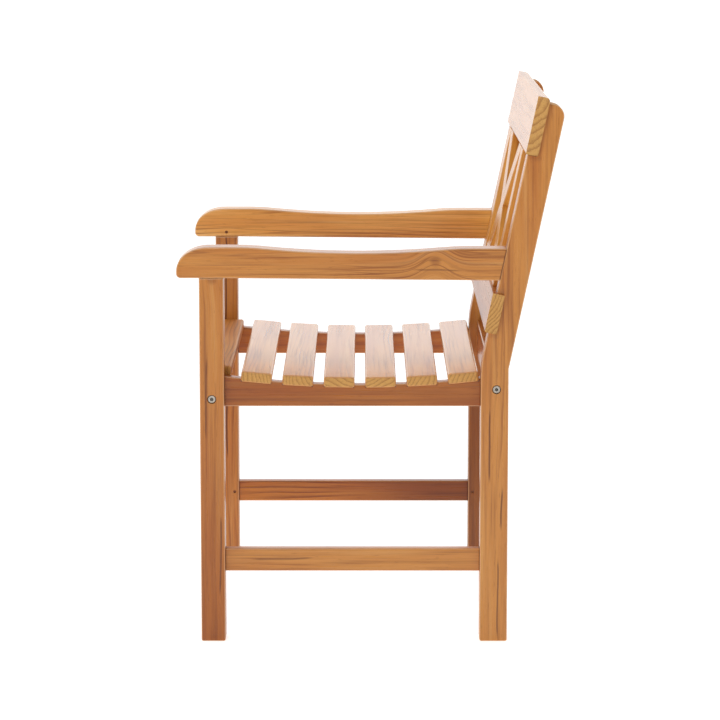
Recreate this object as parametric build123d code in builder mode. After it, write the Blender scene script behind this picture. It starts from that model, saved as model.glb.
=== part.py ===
from build123d import *
from math import acos, atan2, cos, degrees, hypot, radians, sin, sqrt, tan
import os

# A compact teak garden bench with arms: two glued side frames (front leg, raked back leg, arm,
# seat rail and stretcher) joined by bolted cross rails, seven seat slats and a cross-braced back.
# Millimetres. +Z is up, the sitter faces -Y, and the sitter's left hand is on the +X side.
# The origin lies on the ground, under the middle of the bench.

os.makedirs("parts", exist_ok=True)

# ---------------------------------------------------------------- overall frame
WIDTH = 620.0            # over the outer faces of the legs
LEG_THICK = 42.0         # legs and arms, along X
LEG_OUT = WIDTH / 2
LEG_IN = LEG_OUT - LEG_THICK
LEG_MID = LEG_OUT - LEG_THICK / 2
ARRIS = 2.5              # rounding of the long edges of the frame

# ---------------------------------------------------------------- front leg
FRONT_FACE = -275.0      # front of the front legs
FRONT_DEEP = 39.5
FRONT_BACK = FRONT_FACE + FRONT_DEEP
ARM_UNDER = 600.0        # underside of the arm above the front leg
FOOT_ROUND = 3.0

# ---------------------------------------------------------------- back leg
BACK_FACE = 180.5        # front of the upright lower part
BACK_DEEP = 45.0
BACK_REAR = BACK_FACE + BACK_DEEP
KNEE_Z = 456.5           # where the front face turns into the rake
RAKE = 11.95             # degrees off upright
RAKE_LENGTH = 438.0      # from the knee to the top, along the rake
KNEE_ROUND = 220.0
TOP_ROUND = 20.0
RAKE_SIN = sin(radians(RAKE))
RAKE_COS = cos(radians(RAKE))
# The back plane holds the raked front faces: x is across, y runs up the rake, z points forward.
BACK_PLANE = Plane(
    origin=(0, BACK_FACE, KNEE_Z), x_dir=(1, 0, 0), z_dir=(0, -RAKE_COS, RAKE_SIN)
)

# ---------------------------------------------------------------- arm
ARM_TOP_FRONT = 650.0
ARM_TOP_DIP = 640.3
ARM_TOP_REAR = 648.0
ARM_REAR_UNDER = 596.2
ARM_DIP_Y = -16.5        # lowest point of the dished top
ARM_DIP_FRONT = -192.0
ARM_DIP_BACK = 139.0
ARM_BLEND = 500.0        # eases the ends of the dish into the flats
NOSE_FLAT = -258.0       # where the nose curve meets the top
NOSE_FULL = 0.55         # fullness of the nose curve, upwards
NOSE_REACH = 0.62        # and forwards
NOSE_ROUND = 7.0
BUTT_CLEAR = 5.0         # edges nearer than this to the back leg stay sharp

# ---------------------------------------------------------------- seat
SEAT_RADIUS = 1790.0     # dish under the slats, centred above the seat
SEAT_MID = -15.5         # lowest point of the dish
SEAT_LOW = 418.5         # underside of the slats there
SLAT_BED = 5.0           # depth that the slats are let into the side rails
SLAT_WIDE = 50.0
SLAT_THICK = 17.5
SLAT_PITCH = 67.6
SLAT_LONG = 592.0
SLAT_ROUND = 3.0
DISHED_SLATS = 6
RAIL_THICK = 22.0
RAIL_OUT = LEG_OUT - 18.0    # the slat ends stand 4 mm proud of the side rails
RAIL_MID = RAIL_OUT - RAIL_THICK / 2
RAIL_UNDER = 387.8
FRONT_SLAT_Z = 433.3     # underside of the level front slat
FRONT_SLAT_GAP = 1.0     # clearance to each front leg

# ---------------------------------------------------------------- cross rails
CROSS_THICK = 22.0
FRONT_RAIL_Y = -255.5
FRONT_BOLT_Z = 402.0
REAR_RAIL_Y = 206.0
REAR_RAIL_TOP = 448.4
REAR_BOLT_Z = (RAIL_UNDER + REAR_RAIL_TOP) / 2

# ---------------------------------------------------------------- stretcher
STRETCHER_THICK = 20.0
STRETCHER_MID = LEG_OUT - 13.0 - STRETCHER_THICK / 2
STRETCHER_UNDER = 115.0
STRETCHER_HIGH = 37.4

# ---------------------------------------------------------------- back panel
BOARD_LONG = 636.0
TOP_BOARD_LOW = 351.4    # heights up the rake from the knee
TOP_BOARD_HIGH = 446.3
TOP_BOARD_PROUD = 3.7    # in front of the raked leg face
LOWER_BOARD_LOW = 57.0
LOWER_BOARD_HIGH = 121.5
LOWER_BOARD_PROUD = 7.0
BOARD_THICK = 20.0
BOARD_ROUND = 2.5
HOUSING_GAP = 1.2        # left open in the leg below each board
TOP_BOARD_ROUND = 6.0    # softened upper rear edge
LATTICE_PROUD = TOP_BOARD_PROUD
LATTICE_THICK = 16.0
LATTICE_WIDE = 44.0
LATTICE_ROUND = 1.5
STILE_MID = 201.5
TONGUE_THICK = 8.0
TONGUE_WIDE = 30.0
TONGUE_DEEP = 10.0

# ---------------------------------------------------------------- joints and fixings
TENON_THICK = 12.0
RAIL_TENON_LONG = 14.0
RAIL_SHOULDER = 4.0      # under the tenon
RAIL_TENON_HIGH = 24.0
STRETCHER_TENON_LONG = 20.0
STRETCHER_TENON_HIGH = 27.0
LEG_TENON = 20.0         # square stub tenon of the front leg in the arm
LEG_TENON_HIGH = 26.0
ARM_TENON_THICK = 20.0
ARM_TENON_HIGH = 28.0
ARM_TENON_LONG = 22.0
BOLT_RADIUS = 4.0
BOLT_HEAD_RADIUS = 6.4
BOLT_HEAD_THICK = 4.0
BOLT_HEAD_ROUND = 1.0
BOLT_RECESS_RADIUS = 7.3
BOLT_SUNK = 1.5          # head below the leg face
BOLT_SHANK = 76.0
SOCKET_WIDE = 5.0        # across the flats
SOCKET_DEEP = 3.0
BARREL_RADIUS = 5.0
BARREL_LONG = 18.0
BARREL_IN = 30.0         # from the end of the cross rail
DOWEL_RADIUS = 4.0
DOWEL_HALF = 15.0
DOWEL_SPREAD = 19.0      # above and below the bolt
PIN_RADIUS = 2.75
PIN_LONG = 26.0
PIN_SUNK = 3.0
PIN_BACKSET = 8.0        # from the shoulder of the joint
SCREW_RADIUS = 2.0
SCREW_HEAD_RADIUS = 4.0
SCREW_HEAD_THICK = 3.0
SCREW_GRIP = 18.0        # wood left under a screw head
SCREW_BITE = 10.0        # thread in the second piece
SLAT_SCREW_SPREAD = 26.0
FRONT_SCREW_STEP = 180.0
PLUG_RADIUS = 4.5
PLUG_LONG = 8.0
BOARD_SCREW_LONG = 30.0
SCREW_INSET = 18.0       # from the edges of the boards
TOP_SCREW_STEP = 38.0

finished = {}


def side_arris(part, keep=lambda edge: True):
    """Edges round the two faces that look along X, less those that stay sharp."""
    return part.faces().filter_by(Axis.X).edges().filter_by(keep)


def rail_top(y):
    """Height of the dished side rail at depth y."""
    return SEAT_LOW + SEAT_RADIUS - sqrt((SEAT_RADIUS - SLAT_BED) ** 2 - (y - SEAT_MID) ** 2)


def leg_face_y(z):
    """Depth of the raked front face of the back leg at height z."""
    return BACK_FACE + (z - KNEE_Z) * tan(radians(RAKE))


# ================================================================ back panel
def board(low, high, proud, rear_round):
    """A full-width board of the back, across both legs."""
    with BuildPart() as piece:
        with BuildSketch(BACK_PLANE.offset(proud)):
            with Locations((0, (low + high) / 2)):
                Rectangle(BOARD_LONG, high - low)
        extrude(amount=-BOARD_THICK)
        long_edges = piece.edges().filter_by(Axis.X)
        rear_top = long_edges.sort_by(Axis.Z)[-2:].sort_by(Axis.Y)[-1]
        fillet(rear_top, radius=rear_round)
        fillet(piece.edges().filter_by(Axis.X).group_by(Axis.Z)[0], radius=BOARD_ROUND)
        fillet(piece.edges().filter_by(Axis.X).sort_by(Axis.Y)[0], radius=BOARD_ROUND)
    return piece


top_blank = board(TOP_BOARD_LOW, TOP_BOARD_HIGH, TOP_BOARD_PROUD, TOP_BOARD_ROUND)
lower_blank = board(LOWER_BOARD_LOW, LOWER_BOARD_HIGH, LOWER_BOARD_PROUD, BOARD_ROUND)

PANEL_LOW = LOWER_BOARD_HIGH
PANEL_HIGH = TOP_BOARD_LOW
PANEL_MID = (PANEL_LOW + PANEL_HIGH) / 2
PANEL_TALL = PANEL_HIGH - PANEL_LOW
TONGUE_FRONT = LATTICE_PROUD - (LATTICE_THICK - TONGUE_THICK) / 2

with BuildPart() as stile_left:
    with BuildSketch(BACK_PLANE.offset(LATTICE_PROUD)):
        with Locations((STILE_MID, PANEL_MID)):
            Rectangle(LATTICE_WIDE, PANEL_TALL)
    extrude(amount=-LATTICE_THICK)
    upright = Axis((0, 0, 0), (0, RAKE_SIN, RAKE_COS))
    fillet(stile_left.edges().filter_by(upright), radius=LATTICE_ROUND)
    with BuildSketch(BACK_PLANE.offset(TONGUE_FRONT)):
        with Locations((STILE_MID, PANEL_MID)):
            Rectangle(TONGUE_WIDE, PANEL_TALL + 2 * TONGUE_DEEP)
    extrude(amount=-TONGUE_THICK)

with BuildPart() as stile_right:
    mirror(stile_left.part, about=Plane.YZ)

# The braces cross the opening between the stiles, each with its outer edge through two corners.
OPEN_HALF = STILE_MID - LATTICE_WIDE / 2
BRACE_LEAN = degrees(
    acos(LATTICE_WIDE / 2 / hypot(OPEN_HALF, PANEL_TALL / 2)) - atan2(PANEL_TALL / 2, OPEN_HALF)
)
BRACE_STOCK = 3 * PANEL_TALL


def brace(lean, lap_offset):
    """One diagonal, halved where the other one crosses it."""
    with BuildPart() as piece:
        with BuildSketch(BACK_PLANE.offset(LATTICE_PROUD)):
            with Locations((0, PANEL_MID)):
                Rectangle(LATTICE_WIDE, BRACE_STOCK, rotation=lean)
        extrude(amount=-LATTICE_THICK)
        long_edges = piece.edges().sort_by(SortBy.LENGTH)[-4:]
        fillet(long_edges, radius=LATTICE_ROUND)
        with BuildSketch(BACK_PLANE.offset(LATTICE_PROUD)):
            with Locations((0, PANEL_MID)):
                Rectangle(BRACE_STOCK, PANEL_TALL)
        extrude(amount=-LATTICE_THICK, mode=Mode.INTERSECT)
        with BuildSketch(BACK_PLANE.offset(TONGUE_FRONT)):
            with Locations((0, PANEL_MID)):
                Rectangle(TONGUE_WIDE, BRACE_STOCK, rotation=lean)
                Rectangle(BRACE_STOCK, PANEL_TALL + 2 * TONGUE_DEEP, mode=Mode.INTERSECT)
        extrude(amount=-TONGUE_THICK)
        with BuildSketch(BACK_PLANE.offset(lap_offset)):
            with Locations((0, PANEL_MID)):
                Rectangle(LATTICE_WIDE, PANEL_TALL, rotation=-lean)
        extrude(amount=-LATTICE_THICK / 2, mode=Mode.SUBTRACT)
    return piece


brace_front = brace(BRACE_LEAN, LATTICE_PROUD - LATTICE_THICK / 2)
brace_rear = brace(-BRACE_LEAN, LATTICE_PROUD)

with BuildPart() as top_board:
    add(top_blank.part)
    for member in (stile_left, stile_right, brace_front, brace_rear):
        add(member.part, mode=Mode.SUBTRACT)

with BuildPart() as lower_board:
    add(lower_blank.part)
    for member in (stile_left, stile_right, brace_front, brace_rear):
        add(member.part, mode=Mode.SUBTRACT)

# The leg is cut a little lower than each board, so that the board can be pushed up tight.
top_housing = board(
    TOP_BOARD_LOW - HOUSING_GAP, TOP_BOARD_HIGH, TOP_BOARD_PROUD, TOP_BOARD_ROUND
)
lower_housing = board(
    LOWER_BOARD_LOW - HOUSING_GAP, LOWER_BOARD_HIGH, LOWER_BOARD_PROUD, BOARD_ROUND
)

# ================================================================ side frame, left
with BuildPart() as rail_blank:
    with BuildSketch(Plane.YZ.offset(RAIL_MID)):
        with BuildLine():
            ends = [(BACK_FACE, rail_top(BACK_FACE)), (BACK_FACE, RAIL_UNDER)]
            ends += [(FRONT_BACK, RAIL_UNDER), (FRONT_BACK, rail_top(FRONT_BACK))]
            Polyline(*ends)
            ThreePointArc(ends[-1], (SEAT_MID, rail_top(SEAT_MID)), ends[0])
        make_face()
    extrude(amount=RAIL_THICK / 2, both=True)
    fillet(side_arris(rail_blank, lambda edge: edge.length > RAIL_UNDER / 2), radius=ARRIS)
    with BuildSketch(Plane.YZ.offset(RAIL_MID)):
        middle = (FRONT_BACK + BACK_FACE) / 2
        with Locations((middle, RAIL_UNDER + RAIL_SHOULDER + RAIL_TENON_HIGH / 2)):
            Rectangle(BACK_FACE - FRONT_BACK + 2 * RAIL_TENON_LONG, RAIL_TENON_HIGH)
    extrude(amount=TENON_THICK / 2, both=True)

with BuildPart() as stretcher_left:
    with BuildSketch(Plane.YZ.offset(STRETCHER_MID)):
        middle = (FRONT_BACK + BACK_FACE) / 2
        with Locations((middle, STRETCHER_UNDER + STRETCHER_HIGH / 2)):
            Rectangle(BACK_FACE - FRONT_BACK, STRETCHER_HIGH)
    extrude(amount=STRETCHER_THICK / 2, both=True)
    fillet(stretcher_left.edges().filter_by(Axis.Y), radius=ARRIS)
    with BuildSketch(Plane.YZ.offset(STRETCHER_MID)):
        with Locations((middle, STRETCHER_UNDER + STRETCHER_HIGH / 2)):
            Rectangle(BACK_FACE - FRONT_BACK + 2 * STRETCHER_TENON_LONG, STRETCHER_TENON_HIGH)
    extrude(amount=TENON_THICK / 2, both=True)

with BuildPart() as front_leg_blank:
    with BuildSketch(Plane.YZ.offset(LEG_MID)) as leg_side:
        with Locations(((FRONT_FACE + FRONT_BACK) / 2, ARM_UNDER / 2)):
            Rectangle(FRONT_DEEP, ARM_UNDER)
        fillet(leg_side.vertices().group_by(Axis.Y)[0], radius=FOOT_ROUND)
    extrude(amount=LEG_THICK / 2, both=True)
    fillet(side_arris(front_leg_blank), radius=ARRIS)
    with BuildSketch(Plane.XY.offset(ARM_UNDER)):
        with Locations((LEG_MID, (FRONT_FACE + FRONT_BACK) / 2)):
            Rectangle(LEG_TENON, LEG_TENON)
    extrude(amount=LEG_TENON_HIGH)

# The farthest point back is on the rounded top corner of the back leg, and the arm's nose
# reaches just as far forward, so that the bench is centred over its origin.
REAR_REACH = (
    BACK_FACE
    + (RAKE_LENGTH - TOP_ROUND) * RAKE_SIN
    + (BACK_DEEP - TOP_ROUND) * RAKE_COS
    + TOP_ROUND
)
NOSE = -REAR_REACH

with BuildPart() as arm_blank:
    with BuildSketch(Plane.YZ.offset(LEG_MID)) as arm_side:
        with BuildLine():
            nose_low = (NOSE, ARM_UNDER)
            nose_start = (NOSE, ARM_UNDER + 1.5 * NOSE_ROUND)
            nose_end = (NOSE_FLAT, ARM_TOP_FRONT)
            rise = ARM_TOP_FRONT - nose_start[1]
            run = NOSE_FLAT - NOSE
            Line(nose_low, nose_start)
            Bezier(
                nose_start,
                (NOSE, nose_start[1] + NOSE_FULL * rise),
                (NOSE_FLAT - NOSE_REACH * run, ARM_TOP_FRONT),
                nose_end,
            )
            Line(nose_end, (ARM_DIP_FRONT, ARM_TOP_FRONT))
            ThreePointArc(
                (ARM_DIP_FRONT, ARM_TOP_FRONT),
                (ARM_DIP_Y, ARM_TOP_DIP),
                (ARM_DIP_BACK, ARM_TOP_REAR),
            )
            Polyline(
                (ARM_DIP_BACK, ARM_TOP_REAR),
                (leg_face_y(ARM_TOP_REAR), ARM_TOP_REAR),
                (leg_face_y(ARM_REAR_UNDER), ARM_REAR_UNDER),
                (FRONT_BACK, ARM_UNDER),
                nose_low,
            )
        make_face()
        fillet(arm_side.vertices().sort_by(Axis.X)[:2].sort_by(Axis.Y)[0], radius=NOSE_ROUND)
        for end in (ARM_DIP_FRONT, ARM_DIP_BACK):
            dish_end = arm_side.vertices().sort_by_distance((end, ARM_TOP_FRONT, 0))[0]
            fillet(dish_end, radius=ARM_BLEND)
    extrude(amount=LEG_THICK / 2, both=True)
    butt = leg_face_y(ARM_REAR_UNDER) - BUTT_CLEAR
    fillet(side_arris(arm_blank, lambda edge: edge.center().Y < butt), radius=ARRIS)
    with BuildSketch(BACK_PLANE):
        arm_up = ((ARM_REAR_UNDER + ARM_TOP_REAR) / 2 - KNEE_Z) / RAKE_COS
        with Locations((LEG_MID, arm_up)):
            Rectangle(ARM_TENON_THICK, ARM_TENON_HIGH)
    extrude(amount=-ARM_TENON_LONG)

with BuildPart() as back_leg_blank:
    with BuildSketch(Plane.YZ.offset(LEG_MID)) as leg_side:
        with BuildLine():
            knee_drop = BACK_DEEP * tan(radians(RAKE / 2))
            top_front = (BACK_FACE + RAKE_LENGTH * RAKE_SIN, KNEE_Z + RAKE_LENGTH * RAKE_COS)
            top_rear = (
                top_front[0] + BACK_DEEP * RAKE_COS,
                top_front[1] - BACK_DEEP * RAKE_SIN,
            )
            Polyline(
                (BACK_FACE, 0),
                (BACK_REAR, 0),
                (BACK_REAR, KNEE_Z - knee_drop),
                top_rear,
                top_front,
                (BACK_FACE, KNEE_Z),
                close=True,
            )
        make_face()
        corners = leg_side.vertices().sort_by(Axis.Y)
        fillet(corners[3], radius=KNEE_ROUND)
        rear_knee = leg_side.vertices().sort_by(Axis.Y)[2]
        fillet(rear_knee, radius=KNEE_ROUND - BACK_DEEP)
        fillet(leg_side.vertices().sort_by(Axis.Y)[:2], radius=FOOT_ROUND)
        fillet(leg_side.vertices().sort_by(Axis.X)[-1], radius=TOP_ROUND)
    extrude(amount=LEG_THICK / 2, both=True)
    fillet(side_arris(back_leg_blank), radius=ARRIS)

# ---------------------------------------------------------------- draw-bore pins, left side
# Each pin is driven from the inner face through the cheek of a mortise and its tenon.
stretcher_z = STRETCHER_UNDER + STRETCHER_HIGH / 2
pin_spots = [
    (FRONT_BACK - PIN_BACKSET, stretcher_z),
    (BACK_FACE + PIN_BACKSET, stretcher_z),
    ((FRONT_FACE + FRONT_BACK) / 2, ARM_UNDER + PIN_BACKSET),
]


def pin_shafts(start, length):
    """Shafts along +X at every pin of the left side."""
    with BuildPart() as shafts:
        with BuildSketch(Plane.YZ.offset(start)):
            with Locations(*pin_spots):
                Circle(PIN_RADIUS)
        extrude(amount=length)
    return shafts


pins_left = pin_shafts(LEG_IN + PIN_SUNK, PIN_LONG)
pin_holes = pin_shafts(LEG_IN, PIN_LONG + PIN_SUNK)

# ---------------------------------------------------------------- leg bolts, barrel nuts, dowels
bolt_spots = [(FRONT_RAIL_Y, FRONT_BOLT_Z), (REAR_RAIL_Y, REAR_BOLT_Z)]
head_top = LEG_OUT - BOLT_SUNK
head_under = head_top - BOLT_HEAD_THICK

with BuildPart() as bolts_left:
    with BuildSketch(Plane.YZ.offset(head_under)):
        with Locations(*bolt_spots):
            Circle(BOLT_HEAD_RADIUS)
    extrude(amount=BOLT_HEAD_THICK)
    fillet(bolts_left.edges().group_by(Axis.X)[-1], radius=BOLT_HEAD_ROUND)
    with BuildSketch(Plane.YZ.offset(head_under)):
        with Locations(*bolt_spots):
            Circle(BOLT_RADIUS)
    extrude(amount=-BOLT_SHANK)
    with BuildSketch(Plane.YZ.offset(head_top)):
        with Locations(*bolt_spots):
            RegularPolygon(SOCKET_WIDE / 2, 6, major_radius=False)
    extrude(amount=-SOCKET_DEEP, mode=Mode.SUBTRACT)

with BuildPart() as bolt_ways:
    with BuildSketch(Plane.YZ.offset(head_under)):
        with Locations(*bolt_spots):
            Circle(BOLT_RECESS_RADIUS)
    extrude(amount=BOLT_HEAD_THICK + BOLT_SUNK)
    with BuildSketch(Plane.YZ.offset(head_under)):
        with Locations(*bolt_spots):
            Circle(BOLT_RADIUS)
    extrude(amount=-BOLT_SHANK)

BARREL_X = LEG_IN - BARREL_IN
with BuildPart() as barrel_stock:
    for rail_y, rail_z, side in ((FRONT_RAIL_Y, FRONT_BOLT_Z, 1), (REAR_RAIL_Y, REAR_BOLT_Z, -1)):
        face_y = rail_y + side * CROSS_THICK / 2
        with BuildSketch(Plane(origin=(0, face_y, 0), x_dir=(1, 0, 0), z_dir=(0, side, 0))) as ends:
            with Locations(ends.workplanes[0].to_local_coords(Vector(BARREL_X, face_y, rail_z))):
                Circle(BARREL_RADIUS)
        extrude(amount=-BARREL_LONG)

with BuildPart() as barrels_left:
    add(barrel_stock.part)
    add(bolts_left.part, mode=Mode.SUBTRACT)

# The low front rail has room for one dowel above its bolt, the rear rail for two.
dowel_spots = [(y, z + DOWEL_SPREAD) for y, z in bolt_spots]
dowel_spots.append((REAR_RAIL_Y, REAR_BOLT_Z - DOWEL_SPREAD))
with BuildPart() as dowels_left:
    with BuildSketch(Plane.YZ.offset(LEG_IN)):
        with Locations(*dowel_spots):
            Circle(DOWEL_RADIUS)
    extrude(amount=DOWEL_HALF, both=True)

# ---------------------------------------------------------------- screws and plugs of the boards
board_screw_ups = [
    TOP_BOARD_LOW + SCREW_INSET,
    TOP_BOARD_LOW + SCREW_INSET + TOP_SCREW_STEP,
    LOWER_BOARD_LOW + SCREW_INSET,
    LOWER_BOARD_HIGH - SCREW_INSET,
]
board_screw_spots = [(LEG_MID, up) for up in board_screw_ups]

with BuildPart() as plugs_left:
    with BuildSketch(BACK_PLANE.offset(-BACK_DEEP)):
        with Locations(*board_screw_spots):
            Circle(PLUG_RADIUS)
    extrude(amount=PLUG_LONG)

with BuildPart() as board_screws_left:
    with BuildSketch(BACK_PLANE.offset(PLUG_LONG - BACK_DEEP)):
        with Locations(*board_screw_spots):
            Circle(SCREW_HEAD_RADIUS)
    extrude(amount=SCREW_HEAD_THICK)
    with BuildSketch(BACK_PLANE.offset(PLUG_LONG - BACK_DEEP)):
        with Locations(*board_screw_spots):
            Circle(SCREW_RADIUS)
    extrude(amount=BOARD_SCREW_LONG)

# ---------------------------------------------------------------- slats and their screws
slat_angles = [
    (i - (DISHED_SLATS - 1) / 2) * SLAT_PITCH / SEAT_RADIUS for i in range(DISHED_SLATS)
]
CHORD = sqrt(SEAT_RADIUS**2 - (SLAT_WIDE / 2) ** 2)


def slat(plane, length):
    """A seat slat, lying on the given plane, with softened edges."""
    with BuildPart() as piece:
        with BuildSketch(plane):
            Rectangle(length, SLAT_WIDE)
        extrude(amount=SLAT_THICK)
        fillet(piece.edges().filter_by(Axis.X), radius=SLAT_ROUND)
    return piece


slats = []
front_slat_plane = Plane(origin=(0, FRONT_FACE + SLAT_WIDE / 2, FRONT_SLAT_Z))
slats.append(slat(front_slat_plane, 2 * (LEG_IN - FRONT_SLAT_GAP)))
slat_planes = []
for angle in slat_angles:
    seat = (0, SEAT_MID + CHORD * sin(angle), SEAT_LOW + SEAT_RADIUS - CHORD * cos(angle))
    slat_planes.append(Plane(origin=seat, x_dir=(1, 0, 0), z_dir=(0, -sin(angle), cos(angle))))
for plane in slat_planes:
    slats.append(slat(plane, SLAT_LONG))

# The square-cornered notches in the side rails that the dished slats are bedded in.
with BuildPart() as slat_beds:
    for plane in slat_planes:
        with BuildSketch(plane):
            Rectangle(SLAT_LONG, SLAT_WIDE)
        extrude(amount=SLAT_THICK)

slat_screw_spots = []
for angle in slat_angles:
    for step in (-SLAT_SCREW_SPREAD / 2, SLAT_SCREW_SPREAD / 2):
        y = SEAT_MID + CHORD * sin(angle) + step * cos(angle)
        z = SEAT_LOW + SEAT_RADIUS - CHORD * cos(angle) + step * sin(angle)
        slat_screw_spots.append((RAIL_MID, y, z))
front_screw_spots = [(i * FRONT_SCREW_STEP, FRONT_RAIL_Y, FRONT_SLAT_Z) for i in (-1, 0, 1)]


def rising_screws(joints):
    """Screws driven upwards; each joint is the point where the two pieces meet."""
    with BuildPart() as screws:
        for x, y, z in joints:
            with BuildSketch(Plane(origin=(x, y, z - SCREW_GRIP - SCREW_HEAD_THICK))):
                Circle(SCREW_HEAD_RADIUS)
            extrude(amount=SCREW_HEAD_THICK)
            with BuildSketch(Plane(origin=(x, y, z - SCREW_GRIP))):
                Circle(SCREW_RADIUS)
            extrude(amount=SCREW_GRIP + SCREW_BITE)
    return screws


def screw_ways(joints, under):
    """The counterbores below the heads and the pilot holes, down to the given underside."""
    with BuildPart() as ways:
        for x, y, z in joints:
            with BuildSketch(Plane(origin=(x, y, under))):
                Circle(SCREW_HEAD_RADIUS)
            extrude(amount=z - SCREW_GRIP - under)
            with BuildSketch(Plane(origin=(x, y, z - SCREW_GRIP))):
                Circle(SCREW_RADIUS)
            extrude(amount=SCREW_GRIP + SCREW_BITE)
    return ways


seat_screws_left = rising_screws(slat_screw_spots)
seat_ways_left = screw_ways(slat_screw_spots, RAIL_UNDER)
front_screws = rising_screws(front_screw_spots)
front_ways = screw_ways(front_screw_spots, RAIL_UNDER)

# ================================================================ joints cut into the side frame
with BuildPart() as side_rail_left:
    add(rail_blank.part)
    for joint in (pin_holes, seat_ways_left, slat_beds):
        add(joint.part, mode=Mode.SUBTRACT)

with BuildPart() as side_stretcher_left:
    add(stretcher_left.part)
    add(pin_holes.part, mode=Mode.SUBTRACT)

with BuildPart() as arm_left:
    add(arm_blank.part)
    add(front_leg_blank.part, mode=Mode.SUBTRACT)
    add(pin_holes.part, mode=Mode.SUBTRACT)

with BuildPart() as front_leg_left:
    add(front_leg_blank.part)
    for joint in (rail_blank, stretcher_left, pin_holes, bolt_ways, dowels_left):
        add(joint.part, mode=Mode.SUBTRACT)

with BuildPart() as back_leg_left:
    add(back_leg_blank.part)
    for joint in (rail_blank, stretcher_left, arm_blank, top_housing, lower_housing):
        add(joint.part, mode=Mode.SUBTRACT)
    for joint in (pin_holes, bolt_ways, dowels_left, plugs_left, board_screws_left):
        add(joint.part, mode=Mode.SUBTRACT)

# ================================================================ pieces across the bench
def both_sides(left):
    """The pieces of the left side together with their mirror images."""
    with BuildPart() as pair:
        add(left.part)
        mirror(left.part, about=Plane.YZ)
    return pair


all_bolt_ways = both_sides(bolt_ways)
all_dowels = both_sides(dowels_left)
all_barrel_stock = both_sides(barrel_stock)
all_board_screws = both_sides(board_screws_left)
all_seat_ways = both_sides(seat_ways_left)


def cross_rail(mid_y, top):
    """A rail between the legs, bolted and dowelled at both ends."""
    with BuildPart() as piece:
        with BuildSketch(Plane.YZ):
            with Locations((mid_y, (RAIL_UNDER + top) / 2)):
                Rectangle(CROSS_THICK, top - RAIL_UNDER)
        extrude(amount=LEG_IN, both=True)
        fillet(piece.edges().filter_by(Axis.X), radius=ARRIS)
        for cut in (all_bolt_ways, all_dowels, all_barrel_stock, front_ways):
            add(cut.part, mode=Mode.SUBTRACT)
    return piece


finished["front_rail"] = cross_rail(FRONT_RAIL_Y, FRONT_SLAT_Z)
finished["rear_rail"] = cross_rail(REAR_RAIL_Y, REAR_RAIL_TOP)

for number, blank in enumerate(slats, start=1):
    with BuildPart() as seat_slat:
        add(blank.part)
        add(all_seat_ways.part, mode=Mode.SUBTRACT)
        add(front_ways.part, mode=Mode.SUBTRACT)
    finished[f"seat_slat_{number}"] = seat_slat

for node, blank in (("top_back_board", top_board), ("lower_back_board", lower_board)):
    with BuildPart() as drilled:
        add(blank.part)
        add(all_board_screws.part, mode=Mode.SUBTRACT)
    finished[node] = drilled

finished["back_stile_left"] = stile_left
finished["back_stile_right"] = stile_right
finished["cross_brace_front"] = brace_front
finished["cross_brace_rear"] = brace_rear

# ================================================================ right side and fixings
for node, left in (
    ("front_leg", front_leg_left),
    ("back_leg", back_leg_left),
    ("arm", arm_left),
    ("side_rail", side_rail_left),
    ("side_stretcher", side_stretcher_left),
):
    with BuildPart() as right:
        mirror(left.part, about=Plane.YZ)
    finished[f"{node}_left"] = left
    finished[f"{node}_right"] = right

finished["leg_bolts"] = both_sides(bolts_left)
finished["barrel_nuts"] = both_sides(barrels_left)
finished["rail_dowels"] = all_dowels
finished["joint_pins"] = both_sides(pins_left)
finished["seat_screws"] = both_sides(seat_screws_left)
finished["front_slat_screws"] = front_screws
finished["board_screws"] = all_board_screws
finished["screw_plugs"] = both_sides(plugs_left)

for node, piece in finished.items():
    piece.part.label = node
    export_step(piece.part, f"parts/{node}.step")
    size = piece.part.bounding_box().size
    print(f"{node:20s} solids {len(piece.part.solids())}  {size.X:.1f} x {size.Y:.1f} x {size.Z:.1f}")
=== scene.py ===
# %% [markdown]
# # A teak garden bench
# The bench is made of straight, raked and gently curved pieces of teak. Their true shapes come
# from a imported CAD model, so this lesson starts by loading that model as a fixed frame. Then it
# sets up a camera and soft light, writes a finish for teak as an expression, and builds the
# pieces that repeat, the seat slats and the leg bolts, with Geometry Nodes.

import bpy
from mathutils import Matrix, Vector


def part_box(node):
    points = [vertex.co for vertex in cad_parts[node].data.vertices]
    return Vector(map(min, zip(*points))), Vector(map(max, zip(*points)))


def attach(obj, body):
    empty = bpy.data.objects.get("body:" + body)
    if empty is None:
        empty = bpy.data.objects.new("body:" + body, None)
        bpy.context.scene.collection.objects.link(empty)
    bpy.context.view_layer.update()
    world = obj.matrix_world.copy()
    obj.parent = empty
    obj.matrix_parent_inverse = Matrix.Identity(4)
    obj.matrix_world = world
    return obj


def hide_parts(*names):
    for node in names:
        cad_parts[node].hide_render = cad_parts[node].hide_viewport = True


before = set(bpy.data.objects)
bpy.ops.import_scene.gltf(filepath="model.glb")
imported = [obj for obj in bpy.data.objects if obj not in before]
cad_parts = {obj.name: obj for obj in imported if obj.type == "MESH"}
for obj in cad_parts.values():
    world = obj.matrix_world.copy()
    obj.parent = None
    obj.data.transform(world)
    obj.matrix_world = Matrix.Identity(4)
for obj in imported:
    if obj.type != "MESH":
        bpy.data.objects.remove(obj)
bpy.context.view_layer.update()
print("pieces in the frame:", len(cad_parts))

# %% Tools for the whole lesson
from math import cos, pi, radians, sin

import bpy
from mathutils import Euler, Vector


def linear(red, green, blue):
    """A colour given in screen values (0 to 255) as the linear colour that shaders use."""
    parts = [c / 255 for c in (red, green, blue)]
    return tuple(c / 12.92 if c <= 0.04045 else ((c + 0.055) / 1.055) ** 2.4 for c in parts) + (1,)


def towards(place, aim):
    """The rotation that turns an object's -z axis from its place to an aim."""
    return (Vector(aim) - Vector(place)).to_track_quat("-Z", "Y").to_euler()


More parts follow.
